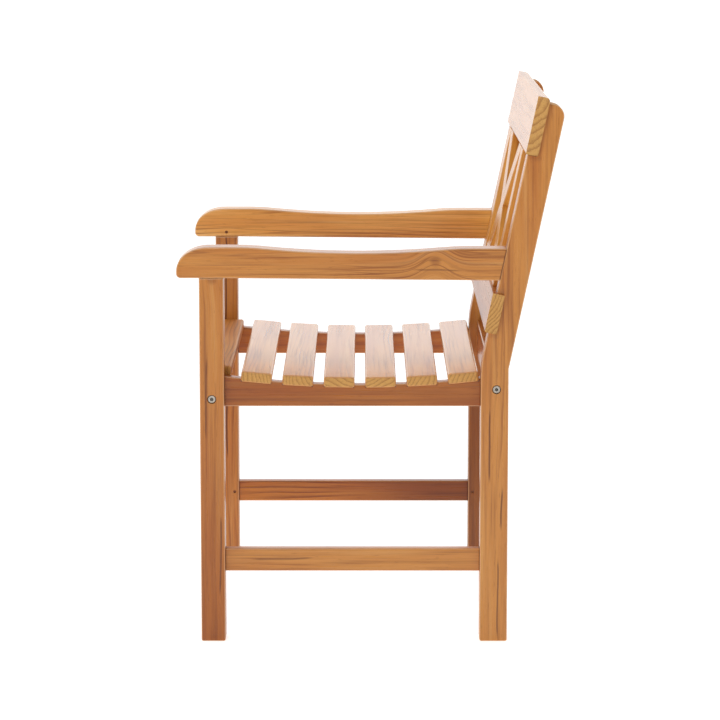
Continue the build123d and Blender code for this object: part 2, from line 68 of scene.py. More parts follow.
# %% [markdown]
# ## Where the camera stands
# The bench is seen square from its left side. The camera stands five metres off and a little
# higher than the back, so the two side frames come out nearly the same size, and a long lens
# brings them close. The aim is a fixed point on the near side frame. It isn't worked out from
# the bench, so a change to the bench never moves the view.

# %% Camera
CAMERA_PLACE = Vector((5.290, -0.0096, 1.2505))
CAMERA_AIM = Vector((0.310, -0.0152, 0.4669))
LENS = 155.9
SENSOR = 36.0
FARTHEST = 60.0

camera_data = bpy.data.cameras.new("camera")
camera_data.lens = LENS
camera_data.sensor_width = SENSOR
camera_data.clip_end = FARTHEST
camera = bpy.data.objects.new("camera", camera_data)
camera.location = CAMERA_PLACE
camera.rotation_euler = towards(CAMERA_PLACE, CAMERA_AIM)
bpy.context.scene.collection.objects.link(camera)
bpy.context.scene.camera = camera
print("the camera looks down by", round((CAMERA_PLACE - CAMERA_AIM).z, 3), "m on its way")

# %% [markdown]
# ## Writing a finish as an expression
# A shader is a graph of small nodes. Wiring them by hand hides the idea, so one class stands for
# a node's output and understands +, -, * and /. Then a mask can be written as (1 - ring) * fibre,
# and the Math nodes appear by themselves. Every other node comes from one method, add().

# %% Shader expressions
class Value:
    """An output of a shader node, used like a number."""

    def __init__(self, finish, socket):
        self.finish = finish
        self.socket = socket

    def __add__(self, other):
        return self.finish.math("ADD", self, other)

    def __sub__(self, other):
        return self.finish.math("SUBTRACT", self, other)

    def __mul__(self, other):
        return self.finish.math("MULTIPLY", self, other)

    def __truediv__(self, other):
        return self.finish.math("DIVIDE", self, other)

    def __pow__(self, other):
        return self.finish.math("POWER", self, other)

    def __radd__(self, other):
        return self.finish.math("ADD", other, self)

    def __rsub__(self, other):
        return self.finish.math("SUBTRACT", other, self)

    def __rmul__(self, other):
        return self.finish.math("MULTIPLY", other, self)


class Finish:
    """A material that is written from the surface backwards."""

    def __init__(self, name):
        self.material = bpy.data.materials.new(name)
        self.material.use_nodes = True
        self.nodes = self.material.node_tree.nodes
        self.links = self.material.node_tree.links
        self.nodes.clear()

    def add(self, kind, settings, inputs, output=0):
        """One node: its type, its settings, and the values or links of its sockets."""
        node = self.nodes.new(kind)
        for key, value in settings.items():
            setattr(node, key, value)
        for key, value in inputs.items():
            if isinstance(value, Value):
                self.links.new(value.socket, node.inputs[key])
            else:
                node.inputs[key].default_value = value
        return Value(self, node.outputs[output])

    def math(self, operation, *values):
        inputs = dict(enumerate(values))
        return self.add("ShaderNodeMath", {"operation": operation}, inputs)

    def step(self, value, low, high):
        """0 below low, 1 above high, and a smooth climb between."""
        settings = {"interpolation_type": "SMOOTHSTEP"}
        inputs = {"Value": value, "From Min": low, "From Max": high}
        return self.add("ShaderNodeMapRange", settings, inputs)

    def mix(self, factor, first, second, blend="MIX"):
        """Two colours mixed by a factor."""
        settings = {"data_type": "RGBA", "blend_type": blend}
        return self.add("ShaderNodeMix", settings, {0: factor, 6: first, 7: second}, 2)

    def vector(self, operation, first, second, output=0):
        """One Vector Math node of two vectors."""
        settings = {"operation": operation}
        return self.add("ShaderNodeVectorMath", settings, {0: first, 1: second}, output)

    def combine(self, **parts):
        """A vector from its X, Y and Z; a part that isn't given is 0."""
        return self.add("ShaderNodeCombineXYZ", {}, parts)

    def noise(self, place, stretch, detail=2.0, roughness=0.5):
        """Noise between 0 and 1, about one blob per 1/stretch metres on each axis."""
        spot = self.vector("MULTIPLY", place, stretch)
        inputs = {"Vector": spot, "Scale": 1.0, "Detail": detail, "Roughness": roughness}
        return self.add("ShaderNodeTexNoise", {"noise_dimensions": "3D"}, inputs)

    def split(self, vector):
        """The three parts of a vector."""
        node = self.add("ShaderNodeSeparateXYZ", {}, {0: vector}).socket.node
        return tuple(Value(self, part) for part in node.outputs)

    def surface(self, **inputs):
        """The main shader and the material's output."""
        named = {key.replace("_", " "): value for key, value in inputs.items()}
        shader = self.add("ShaderNodeBsdfPrincipled", {}, named)
        output = self.nodes.new("ShaderNodeOutputMaterial")
        self.links.new(shader.socket, output.inputs["Surface"])
        return self.material


# %% [markdown]
# ## Soft studio light
# The room is a white tent: bright low down on the far side of the bench, and dimmer elsewhere.
# So the upright sides of the bench keep their full colour, while the flat tops, which are seen
# at a low angle, carry a pale sheen. The tent's brightness depends only on the direction in the
# room. A softbox high on the near side is the key light, two more at the front and the rear fill
# in, and a pale floor with a faint glow of its own lights the undersides.

# %% World, lights and floor
TENT_DIM = 0.33
TENT_BRIGHT = 1.50
TENT_TOWARDS = Vector((-0.97, 0.0, 0.24))
TENT_EDGE = (0.35, 0.92)

world = bpy.data.worlds.new("tent")
world.use_nodes = True
bpy.context.scene.world = world
tent = world.node_tree
background = tent.nodes["Background"]
direction = tent.nodes.new("ShaderNodeTexCoord")
likeness = tent.nodes.new("ShaderNodeVectorMath")
likeness.operation = "DOT_PRODUCT"
likeness.inputs[1].default_value = TENT_TOWARDS
fade = tent.nodes.new("ShaderNodeMapRange")
fade.interpolation_type = "SMOOTHSTEP"
fade.inputs["From Min"].default_value = TENT_EDGE[0]
fade.inputs["From Max"].default_value = TENT_EDGE[1]
fade.inputs["To Min"].default_value = TENT_DIM
fade.inputs["To Max"].default_value = TENT_BRIGHT
tent.links.new(direction.outputs["Generated"], likeness.inputs[0])
tent.links.new(likeness.outputs["Value"], fade.inputs["Value"])
tent.links.new(fade.outputs["Result"], background.inputs["Strength"])
background.inputs["Color"].default_value = (1, 1, 1, 1)
bpy.context.scene.view_settings.view_transform = "Standard"


def softbox(name, place, aim, size, power):
    """A square light with sides in metres and power in watts, aimed at a point."""
    data = bpy.data.lights.new(name, "AREA")
    data.size = size
    data.energy = power
    light = bpy.data.objects.new(name, data)
    light.location = place
    light.rotation_euler = towards(place, aim)
    bpy.context.scene.collection.objects.link(light)


MIDDLE = (0, 0, 0.45)
softbox("light_near_above", (2.5, -0.7, 3.0), MIDDLE, size=1.1, power=34)
softbox("light_front", (0.3, -3.2, 1.9), MIDDLE, size=1.8, power=12)
softbox("light_rear", (0.0, 3.2, 1.6), MIDDLE, size=1.8, power=8)

FLOOR_HALF = 12.0
FLOOR_PALE = (0.82, 0.82, 0.82, 1)
FLOOR_ROUGH = 0.9
FLOOR_GLOW = 0.62
floor_mesh = bpy.data.meshes.new("floor")
corners = [
    (x * FLOOR_HALF, y * FLOOR_HALF, 0) for x, y in ((-1, -1), (1, -1), (1, 1), (-1, 1))
]
floor_mesh.from_pydata(corners, [], [(0, 1, 2, 3)])
floor = bpy.data.objects.new("floor", floor_mesh)
bpy.context.scene.collection.objects.link(floor)
floor_finish = Finish("studio_floor")
floor_mesh.materials.append(
    floor_finish.surface(
        Base_Color=FLOOR_PALE, Roughness=FLOOR_ROUGH,
        Emission_Color=(1, 1, 1, 1), Emission_Strength=FLOOR_GLOW,
    )
)

# %% [markdown]
# ## Teak
# A plank is a slice of a tree, so its figure is a slice of the tree's growth rings. The finish
# works the same way. Every point of a piece is turned into the log's own coordinates, with z
# along the fibres. Rings are then bands of equal distance from the log's heart, bent a little by
# noise. Flat sides show arches, quartered sides show straight lines and ends show arcs, all from
# one rule. Thin streaks of noise, drawn out along z, are the pores and fibres.

# %% The teak finish
HONEY = linear(202, 134, 60)
AMBER = linear(188, 114, 44)
STRAW = linear(218, 164, 98)
UMBER = linear(128, 62, 14)
OCHRE = linear(206, 158, 86)
BARK = linear(84, 36, 8)
WORN_AND_PAINTED_HIGHLIGHT = linear(236, 190, 140)
PLAIN = (1, 1, 1, 1)
RAKE = radians(11.95)
ALONG = {
    "across": Euler((0, -pi / 2, 0)),
    "deep": Euler((pi / 2, 0, 0)),
    "upright": Euler((0, 0, 0)),
    "raked": Euler((RAKE, 0, 0)),
}


# Noise inside the log: blobs per metre across the fibres and along them, detail, roughness.
GRAIN = {
    "bend": (11, 1.8, 2, 0.5),
    "sway": (13, 2.6, 1, 0.5),
    "ripple": (70, 7, 2, 0.5),
    "coming": (22, 3.0, 1, 0.5),
    "cloud": (24, 2.4, 2, 0.5),
    "streak": (150, 4.2, 3, 0.6),
    "pale": (95, 2.6, 2, 0.5),
    "fleck": (420, 60, 1, 0.5),
    "vein": (48, 1.9, 2, 0.5),
    "vein_coming": (13, 3.7, 1, 0.5),
    "wander": (3, 7, 2, 0.5),
    "hatch": (500, 40, 2, 0.5),
}
SEED_STEP = 0.73  # metres along the log from one seed to the next
BOARD_STEP = {"X": 0.0031, "Y": 0.0047, "Z": 1.7}  # metres in the log between a row's boards
KNOT_REACH = 0.030  # how far along the fibres a knot bows them
KNOT_CORE = (0.003, 0.012)  # from its dark middle to its edge
BEND_WIDE = 0.036  # the width of the band in which the rings wander in x
SWAY_WIDE = 0.030  # and in y
RIPPLE_RINGS = 0.8  # small ripples, in parts of a ring
WANDER_WIDE = 0.014  # the width of the band in which a placed vein strays
VEIN_EDGE = (0.0002, 0.0022)  # its half width, from full strength to none
VEIN_FADE = 0.02  # the stretch over which its ends fade
JOINT_EDGE = (0.0005, 0.0018)  # half width of the painted shade line at a joint
BUMP_DEEP = 0.0003


def grain(f, log, kind):
    """One of the noises in the log, drawn out along the fibres."""
    across, along, detail, roughness = GRAIN[kind]
    return f.noise(log, (across, across, along), detail, roughness)


def place_in_log(f, own, heart, seed, number, knots):
    """Where in the log each point was cut, with the fibres bowed round the knots."""
    log = f.vector("ADD", own, Vector((*heart, SEED_STEP * seed)))
    if number:
        board = f.add("ShaderNodeAttribute", {"attribute_name": number}, {}, "Fac")
        jump = f.combine(**{axis: board * step for axis, step in BOARD_STEP.items()})
        log = f.vector("ADD", log, jump)
    height = f.split(own)[2]
    for _, _, middle, depth in knots:
        away = (height - middle) / KNOT_REACH
        bow = f.math("EXPONENT", (away * away) * -1) * depth
        log = f.vector("ADD", log, f.combine(Y=bow))
    return log


def growth_rings(f, log, rings):
    """The late wood of each ring, and the part of it that shows as a dark line."""
    x, y = f.split(log)[:2]
    x = x + (grain(f, log, "bend") - 0.5) * BEND_WIDE
    y = y + (grain(f, log, "sway") - 0.5) * SWAY_WIDE
    ripple = grain(f, log, "ripple") * RIPPLE_RINGS
    age = f.math("FRACT", f.math("SQRT", x * x + y * y) / rings + ripple)
    late = f.step(age, 0.25, 0.93) ** 2 * (1 - f.step(age, 0.95, 1.0))
    return late, late * f.step(grain(f, log, "coming"), 0.42, 0.74)


def placed_marks(f, colour, own, log, veins, knots):
    """The veins and the knots that have a place of their own."""
    parts = dict(zip("xyz", f.split(own)))
    wander = (grain(f, log, "wander") - 0.5) * WANDER_WIDE
    for side, at, low, high, strength in veins:
        beside = f.math("ABSOLUTE", parts[side] + wander - at)
        begun = f.step(parts["z"], low, low + VEIN_FADE)
        ended = f.step(parts["z"], high - VEIN_FADE, high)
        vein = (1 - f.step(beside, *VEIN_EDGE)) * (begun * (1 - ended))
        colour = f.mix(vein * strength, colour, BARK)
    for x, y, z, _ in knots:
        spot = f.vector("DISTANCE", own, (x, y, z), "Value")
        colour = f.mix((1 - f.step(spot, *KNOT_CORE)) * 0.45, colour, UMBER)
    return colour


def teak(name, turn, middle, heart=(0.05, 0.02), seed=0, tint=PLAIN, foot=None, rings=0.0105,
         lines=0.6, veins=(), knots=(), number=None, flecks=0.25, grit=1.0, dull=0.0,
         joints=()):
    """Teak with its fibres along a turned z axis, cut at a distance from the log's heart.

    seed: which stretch of the log the plank is cut from
    tint: a colour that multiplies the wood's own; here it paints light on some pieces and shade on
    others: paler where a piece should look more lit, darker where it lies in shade
    foot: (tint, full, gone), painted shade: a second, darker tint, full at the first z and gone at
    the second
    rings: metres from one growth ring to the next
    lines: how much the dark lines of the rings show
    veins: (side, x or y in metres from the middle, low z, high z, strength)
    knots: (x, y, z, depth), the place from the middle and how far the fibres bow round it
    number: the attribute that tells the boards of one row apart
    flecks: how much the short dark pores show
    grit: how much the single fibres show
    dull: roughness added where the wood is weathered or less polished
    joints: (direction, distance), planes where the piece meets another one; a thin dark line of
    painted shade is laid there
    """
    f = Finish(name)
    place = f.add("ShaderNodeTexCoord", {}, {}, "Object")
    normal = f.add("ShaderNodeTexCoord", {}, {}, "Normal")
    shift = turn.to_matrix() @ Vector(middle)
    turned = {"Vector": place, "Location": -shift, "Rotation": turn}
    own = f.add("ShaderNodeMapping", {"vector_type": "POINT"}, turned)
    turned = {"Vector": normal, "Rotation": turn}
    face = f.add("ShaderNodeMapping", {"vector_type": "NORMAL"}, turned)
    height = f.split(own)[2]
    log = place_in_log(f, own, heart, seed, number, knots)
    late, line = growth_rings(f, log, rings)

    # fibres, streaks and slow changes of tone
    streak = grain(f, log, "streak")
    fibre = f.noise(log, (620, 620, 4 + 10 * grit), 3, 0.65)
    thin = 1 - f.step(f.math("ABSOLUTE", grain(f, log, "vein") - 0.5), 0.002, 0.016)
    mark = thin * f.step(grain(f, log, "vein_coming"), 0.50, 0.66)

    colour = f.mix(f.step(grain(f, log, "cloud"), 0.32, 0.68), HONEY, AMBER)
    colour = f.mix(f.step(streak, 0.46, 0.78) * 0.60, colour, UMBER)
    colour = f.mix(f.step(grain(f, log, "pale"), 0.52, 0.80) * 0.45, colour, STRAW)
    colour = f.mix(line * lines, colour, UMBER)
    colour = f.mix(mark * (0.7 * lines), colour, UMBER)
    colour = f.mix(f.step(fibre, 0.52, 0.82) * (0.50 * grit), colour, UMBER)
    colour = f.mix((1 - f.step(fibre, 0.20, 0.48)) * (0.32 * grit), colour, STRAW)
    colour = f.mix(f.step(grain(f, log, "fleck"), 0.66, 0.76) * flecks, colour, UMBER)
    colour = placed_marks(f, colour, own, log, veins, knots)
    # painted light and painted shade: the piece's tint, then a darker tint that fades in along z
    colour = f.mix(1.0, colour, tint, "MULTIPLY")
    if foot:
        lower, full, gone = foot
        toned = f.mix(1.0, colour, lower, "MULTIPLY")
        colour = f.mix(1 - f.step(height, full, gone), colour, toned)

    # painted shade: a thin dark line where the piece meets another
    for direction, distance in joints:
        along = f.vector("DOT_PRODUCT", place, direction, "Value")
        near = 1 - f.step(f.math("ABSOLUTE", along - distance), *JOINT_EDGE)
        colour = f.mix(near * 0.75, colour, BARK)

    # the ends of the fibres, and the arrises lightened partly by wear and partly by a painted
    # highlight
    nx, ny, nz = (f.math("ABSOLUTE", n) for n in f.split(face))
    end = f.step(nz, 0.72, 0.9)
    flat = f.math("MAXIMUM", f.math("MAXIMUM", nx, ny), nz)
    arris = (1 - f.step(flat, 0.86, 0.985)) * (1 - end)
    hatch = f.step(grain(f, log, "hatch"), 0.45, 0.75)
    cut = f.mix(hatch * 0.30 + late * 0.50, OCHRE, UMBER)
    colour = f.mix(end * 0.85, colour, cut)
    # partly wear, partly a painted highlight on the rounded arrises
    colour = f.mix(arris * (0.20 + 0.5 * fibre), colour, WORN_AND_PAINTED_HIGHLIGHT)

    raised = fibre * (0.5 * grit) + streak * 0.3 - line * 0.3
    relief = {"Strength": 0.10, "Distance": BUMP_DEEP, "Height": raised}
    bump = f.add("ShaderNodeBump", {}, relief)
    roughness = (0.20 + dull) + fibre * (0.12 * grit) + streak * 0.06 + end * 0.35
    return f.surface(Base_Color=colour, Roughness=roughness, Normal=bump)


def dress(node, material):
    """Puts a finish on every slot of a CAD node."""
    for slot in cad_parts[node].material_slots:
        slot.material = material


def middle_of(node):
    """The middle of a CAD node's box."""
    low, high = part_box(node)
    return (low + high) / 2


# %% Every timber gets its own plank
BRACE_LEAN = radians(51.67)  # the fibres of a diagonal, within a quarter degree of its length
# The tints below are painted light and painted shade: the darker ones paint the shade on pieces
# under the seat, on the far side and low down; the paler ones paint light on pieces that should
# look more lit.
PAINTED_DEEP_SHADE = (0.50, 0.36, 0.20, 1)
PAINTED_RUDDY_SHADE = (0.68, 0.50, 0.26, 1)
PAINTED_DUSKY_SHADE = (0.74, 0.56, 0.30, 1)
PAINTED_BRIGHT_LIGHT = (1.42, 1.74, 2.10, 1)
PAINTED_PALE_LIGHT = (1.26, 1.46, 1.50, 1)
PAINTED_WARM_LIGHT = (1.10, 1.12, 0.86, 1)
# Where the legs and the arms meet their neighbours, in metres.
FRONT_LEG_REAR = -0.2355
BACK_LEG_FRONT = 0.1805
BACK_LEG_BEND = 0.4565
ARM_UNDER = 0.600
LEG_JOINTS = [((0, 1, 0), FRONT_LEG_REAR), ((0, 1, 0), BACK_LEG_FRONT)]
RAKED_FACE = BACK_LEG_FRONT * cos(RAKE) - BACK_LEG_BEND * sin(RAKE)
ARM_JOINT = [((0, cos(RAKE), -sin(RAKE)), RAKED_FACE)]
FRONT_LEG_JOINT = [((0, 0, 1), ARM_UNDER)]
# For each piece: which way its fibres run, and the choices for its plank. On an upright piece
# z is height; on a deep one z runs to the rear and y runs down.
PLANKS = {
    "front_leg_left": (
        "upright",
        dict(
            joints=FRONT_LEG_JOINT, heart=(0.03, 0.06), seed=1,
            # painted shade: this leg a little darker all over, and darker still towards the bottom
            tint=(0.92, 0.86, 0.78, 1), foot=(PAINTED_DUSKY_SHADE, -0.30, 0.20), lines=0.5,
            veins=[("y", 0.013, -0.24, -0.10, 0.7), ("y", -0.010, 0.02, 0.16, 0.6)],
            knots=[(0.021, 0.001, 0.285, 0.004)],
        ),
    ),
    "front_leg_right": (
        "upright",
        dict(
            joints=FRONT_LEG_JOINT, heart=(-0.04, 0.05), seed=2, lines=0.7,
            veins=[("y", -0.002, -0.12, 0.30, 0.9)],
        ),
    ),
    "back_leg_left": (
        "upright",
        dict(
            heart=(0.05, 0.10), seed=3, lines=0.45,
            veins=[
                ("y", -0.036, -0.44, -0.30, 0.7),
                ("y", -0.052, -0.18, -0.05, 0.8),
                ("y", -0.030, -0.26, -0.18, 0.8),
            ],
        ),
    ),
    # painted shade: the far back leg darker towards the bottom
    "back_leg_right": ("upright", dict(heart=(-0.05, 0.09), seed=4, foot=(PAINTED_DEEP_SHADE, -0.20, 0.12))),
    "arm_left": (
        "deep",
        dict(
            joints=ARM_JOINT, heart=(0.04, 0.10), seed=5, lines=0.8,
            knots=[(0.021, -0.004, 0.142, 0.022)],
            veins=[("y", -0.006, 0.125, 0.155, 0.8), ("y", 0.009, 0.10, 0.19, 0.5)],
        ),
    ),
    "arm_right": (
        "deep",
        # painted light: the far arm made paler and brighter
        dict(joints=ARM_JOINT, heart=(-0.05, 0.08), seed=6, tint=PAINTED_BRIGHT_LIGHT, lines=0.9, rings=0.006),
    ),
    "side_rail_left": (
        "deep",
        # painted shade: the near side rail darkened for the shade under the slats
        dict(joints=LEG_JOINTS, heart=(0.03, 0.07), seed=7, tint=PAINTED_RUDDY_SHADE, lines=0.3),
    ),
    # painted shade: the far side rail darkened for the shade under the seat
    "side_rail_right": ("deep", dict(joints=LEG_JOINTS, heart=(0.03, 0.06), seed=8, tint=PAINTED_DUSKY_SHADE)),
    "side_stretcher_left": (
        "deep",
        dict(
            joints=LEG_JOINTS, heart=(0.05, 0.04), seed=9,
            veins=[("y", -0.003, -0.17, -0.06, 0.6)],
        ),
    ),
    "side_stretcher_right": (
        "deep",
        dict(
            joints=LEG_JOINTS, heart=(0.03, 0.05), seed=10,
            # painted shade: the far stretcher darkened for the shade under the seat, darker still
            # towards the rear
            tint=(0.92, 0.76, 0.46, 1), foot=(PAINTED_DEEP_SHADE, 0.16, -0.10), lines=1.0, rings=0.008,
        ),
    ),
    "front_rail": ("across", dict(heart=(0.05, 0.04), seed=11)),
    # painted shade: the rear rail darkened for the shade under the seat
    "rear_rail": ("across", dict(heart=(0.05, 0.05), seed=12, tint=PAINTED_DUSKY_SHADE)),
    "top_back_board": (
        "across",
        dict(heart=(0.06, 0.04), seed=13, flecks=0.0, grit=0.4, lines=0.4),
    ),
    "lower_back_board": (
        "across",
        dict(
            # painted shade: the lower back board a little darker
            heart=(0.04, 0.05), seed=14, tint=(0.92, 0.82, 0.68, 1),
            flecks=0.0, lines=0.9, rings=0.006,
        ),
    ),
    # painted light: the stiles made paler
    "back_stile_left": ("raked", dict(heart=(0.05, 0.05), seed=15, tint=PAINTED_PALE_LIGHT)),
    "back_stile_right": ("raked", dict(heart=(0.05, 0.04), seed=16, tint=PAINTED_PALE_LIGHT)),
}
for node, (way, choices) in PLANKS.items():
    dress(node, teak(f"teak_{node}", ALONG[way], middle_of(node), **choices))
# The two diagonals of the back lean to opposite sides.
BRACES = {"cross_brace_front": (1, 21), "cross_brace_rear": (-1, 19)}
for node, (side, seed) in BRACES.items():
    turn = Euler((RAKE, side * BRACE_LEAN, 0))
    # painted light: the diagonals made paler
    plank = dict(heart=(0.04, 0.05), seed=seed, tint=PAINTED_PALE_LIGHT)
    dress(node, teak(f"teak_{node}", turn, middle_of(node), **plank))
print("planks dressed:", len(PLANKS) + len(BRACES))

# %% [markdown]
# ## Seat slats by rule
# Six slats lie side by side on the dished rails, and one more sits level between the front legs.
# They are the same kind of board, so one Geometry Nodes tree makes a softened board and lays a
# row of them round the dish. Changing the count, the pitch or the dish is then a matter of one
# number.

# %% Build the slat tree
def node_tree(name, inputs):
    """An empty Geometry Nodes tree with named inputs."""
    tree = bpy.data.node_groups.new(name, "GeometryNodeTree")
    for label, kind in inputs:
        tree.interface.new_socket(label, in_out="INPUT", socket_type=kind)
    tree.interface.new_socket("Geometry", in_out="OUTPUT", socket_type="NodeSocketGeometry")
    return tree


def grow(tree, kind, settings, inputs, output=0):
    """One node of a Geometry Nodes tree; returns its output socket."""
    node = tree.nodes.new(kind)
    for key, value in settings.items():
        setattr(node, key, value)
    for key, value in inputs.items():
        if isinstance(value, bpy.types.NodeSocket):
            tree.links.new(value, node.inputs[key])
        else:
            node.inputs[key].default_value = value
    return node.outputs[output]


def gmath(tree, operation, *values):
    """A Math node of a Geometry Nodes tree."""
    return grow(tree, "ShaderNodeMath", {"operation": operation}, dict(enumerate(values)))


def gvector(tree, operation, *values):
    """A Vector Math node of a Geometry Nodes tree."""
    return grow(tree, "ShaderNodeVectorMath", {"operation": operation}, dict(enumerate(values)))


def gcombine(tree, x=0.0, y=0.0, z=0.0):
    """A vector from its three parts."""
    return grow(tree, "ShaderNodeCombineXYZ", {}, {0: x, 1: y, 2: z})


def finish_tree(tree, geometry, material):
    """Gives the geometry its material and makes it the tree's result."""
    inputs = {"Geometry": geometry, "Material": material}
    done = grow(tree, "GeometryNodeSetMaterial", {}, inputs)
    tree.links.new(done, tree.nodes.new("NodeGroupOutput").inputs["Geometry"])
    return tree


SLAT_INPUTS = [
    ("Count", "NodeSocketInt"),
    ("Pitch", "NodeSocketFloat"),
    ("Half size", "NodeSocketVector"),
    ("Round", "NodeSocketFloat"),
    ("Dish radius", "NodeSocketFloat"),
    ("Bed drop", "NodeSocketFloat"),
    ("Bed", "NodeSocketVector"),
    ("First number", "NodeSocketInt"),
    ("Material", "NodeSocketMaterial"),
]
GRID = 12  # grid lines on each axis of a board


def slat_tree():
    """A row of softened boards, laid round the inside of a dish."""
    tree = node_tree("slat_row", SLAT_INPUTS)
    given = tree.nodes.new("NodeGroupInput").outputs
    block = grow(tree, "GeometryNodeMeshCube", {}, {
        "Size": (2, 2, 2), "Vertices X": GRID, "Vertices Y": GRID, "Vertices Z": GRID})
    # Each grid line but the two middle ones is pushed into the rounded zone near the faces.
    spot = grow(tree, "GeometryNodeInputPosition", {}, {})
    inner = 1 / (GRID - 1)
    size = gvector(tree, "ABSOLUTE", spot)
    sign = gvector(tree, "SIGN", spot)
    outside = gvector(tree, "SUBTRACT", size, (inner,) * 3)
    zone = gvector(tree, "DIVIDE", outside, (1 - inner,) * 3)
    radius = gcombine(tree, given["Round"], given["Round"], given["Round"])
    core = gvector(tree, "SUBTRACT", given["Half size"], radius)
    out = gvector(tree, "MULTIPLY", zone, radius)
    pushed = gvector(tree, "NORMALIZE", gvector(tree, "MULTIPLY", out, sign))
    rounded = gvector(tree, "MULTIPLY", pushed, radius)
    place = gvector(tree, "ADD", gvector(tree, "MULTIPLY", core, sign), rounded)
    shaped = grow(tree, "GeometryNodeSetPosition", {}, {"Geometry": block, "Position": place})

    # The row: one point per slat, turned to stand square on the dish.
    row = grow(tree, "GeometryNodeMeshLine", {}, {"Count": given["Count"], "Offset": (0, 0, 0)})
    index = grow(tree, "GeometryNodeInputIndex", {}, {})
    last = gmath(tree, "SUBTRACT", given["Count"], 1)
    step = gmath(tree, "SUBTRACT", index, gmath(tree, "MULTIPLY", last, 0.5))
    arc = gmath(tree, "MULTIPLY", step, given["Pitch"])
    angle = gmath(tree, "DIVIDE", arc, given["Dish radius"])
    half = grow(tree, "ShaderNodeSeparateXYZ", {}, {0: given["Half size"]}, 2)
    chord = gmath(tree, "SUBTRACT", given["Dish radius"], given["Bed drop"])
    arm = gmath(tree, "SUBTRACT", chord, half)
    y = gmath(tree, "MULTIPLY", arm, gmath(tree, "SINE", angle))
    below = gmath(tree, "MULTIPLY", arm, gmath(tree, "COSINE", angle))
    z = gmath(tree, "SUBTRACT", arm, below)
    offset = gvector(tree, "ADD", gcombine(tree, y=y, z=z), given["Bed"])
    laid = grow(tree, "GeometryNodeSetPosition", {}, {"Geometry": row, "Position": offset})
    euler = grow(tree, "FunctionNodeEulerToRotation", {}, {0: gcombine(tree, x=angle)})
    number = gmath(tree, "ADD", index, given["First number"])
    settings = {"data_type": "FLOAT", "domain": "POINT"}
    inputs = {"Geometry": laid, "Name": "slat_number", "Value": number}
    stored = grow(tree, "GeometryNodeStoreNamedAttribute", settings, inputs)
    many = grow(tree, "GeometryNodeInstanceOnPoints", {},
                {"Points": stored, "Instance": shaped, "Rotation": euler})
    real = grow(tree, "GeometryNodeRealizeInstances", {}, {"Geometry": many})
    smooth = grow(tree, "GeometryNodeSetShadeSmooth", {}, {"Geometry": real})
    return finish_tree(tree, smooth, given["Material"])


def build(name, tree, values, slot, *nodes):
    """Runs a tree on an empty mesh and keeps the result as a plain piece of the bench."""
    seed = bpy.data.objects.new(name, bpy.data.meshes.new(name))
    bpy.context.scene.collection.objects.link(seed)
    modifier = seed.modifiers.new(name, "NODES")
    modifier.node_group = tree
    for item in tree.interface.items_tree:
        if item.in_out == "INPUT" and item.name in values:
            modifier[item.identifier] = values[item.name]
    graph = bpy.context.evaluated_depsgraph_get()
    mesh = bpy.data.meshes.new_from_object(seed.evaluated_get(graph), depsgraph=graph)
    seed.modifiers.clear()
    seed.data = mesh
    mesh.name = name
    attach(seed, "root")
    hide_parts(*nodes)
    print(name, "has", len(mesh.polygons), "faces")
    return seed


# %% Lay the slats
slats = slat_tree()
DISHED = range(2, 8)  # the numbers of the slats that lie on the dished rails
low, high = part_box("seat_slat_4")
SLAT_WIDE = 0.050
SLAT_THICK = 0.0175
SLAT_HALF = ((high.x - low.x) / 2, SLAT_WIDE / 2, SLAT_THICK / 2)
DISH_RADIUS = 1.790
SLAT_PITCH = 0.0676
SLAT_ROUND = 0.004
DISH_BOTTOM = 0.4185
DISH_MIDDLE = -0.0155
BED_DROP = SLAT_HALF[1] ** 2 / (2 * DISH_RADIUS)
SEAT_MIDDLE = (0, 0, 0.44)
first_low, first_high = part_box("seat_slat_1")
ROW = dict(heart=(0.022, 0.006), number="slat_number", flecks=0.0, grit=0.25, rings=0.0065)
# painted light: both slat finishes made brighter and warmer
seat_teak = teak(
    "teak_seat", ALONG["across"], SEAT_MIDDLE, seed=30, tint=PAINTED_WARM_LIGHT, lines=0.7, **ROW
)
front_slat_teak = teak(
    "teak_front_slat", ALONG["across"], SEAT_MIDDLE, seed=31, tint=PAINTED_WARM_LIGHT, dull=0.3, **ROW
)
build(
    "seat_slats",
    slats,
    {
        "Count": len(DISHED),
        "Pitch": SLAT_PITCH,
        "Half size": SLAT_HALF,
        "Round": SLAT_ROUND,
        "Dish radius": DISH_RADIUS,
        "Bed drop": BED_DROP,
        "Bed": (0, DISH_MIDDLE, DISH_BOTTOM + BED_DROP + SLAT_HALF[2]),
        "First number": DISHED[0],
        "Material": seat_teak,
    },
    "teak",
    *[f"seat_slat_{n}" for n in DISHED],
)
build(
    "front_seat_slat",
    slats,
    {
        "Count": 1,
        "Pitch": SLAT_PITCH,
        "Half size": (first_high - first_low) / 2,
        "Round": SLAT_ROUND,
        "Dish radius": DISH_RADIUS,
        "Bed": (first_low + first_high) / 2,
        "First number": 1,
        "Material": front_slat_teak,
    },
    "teak",
    "seat_slat_1",
)

# %% [markdown]
# ## Leg bolts
# Each leg holds a cross rail with one bolt. Its head sits in a recess and has a hexagonal socket.
# A Geometry Nodes tree makes one bolt from three round bodies that touch, cuts the socket out of
# it, marks the socket's inside with an attribute, and sets four of them by rule: two sides, two
# cross rails.

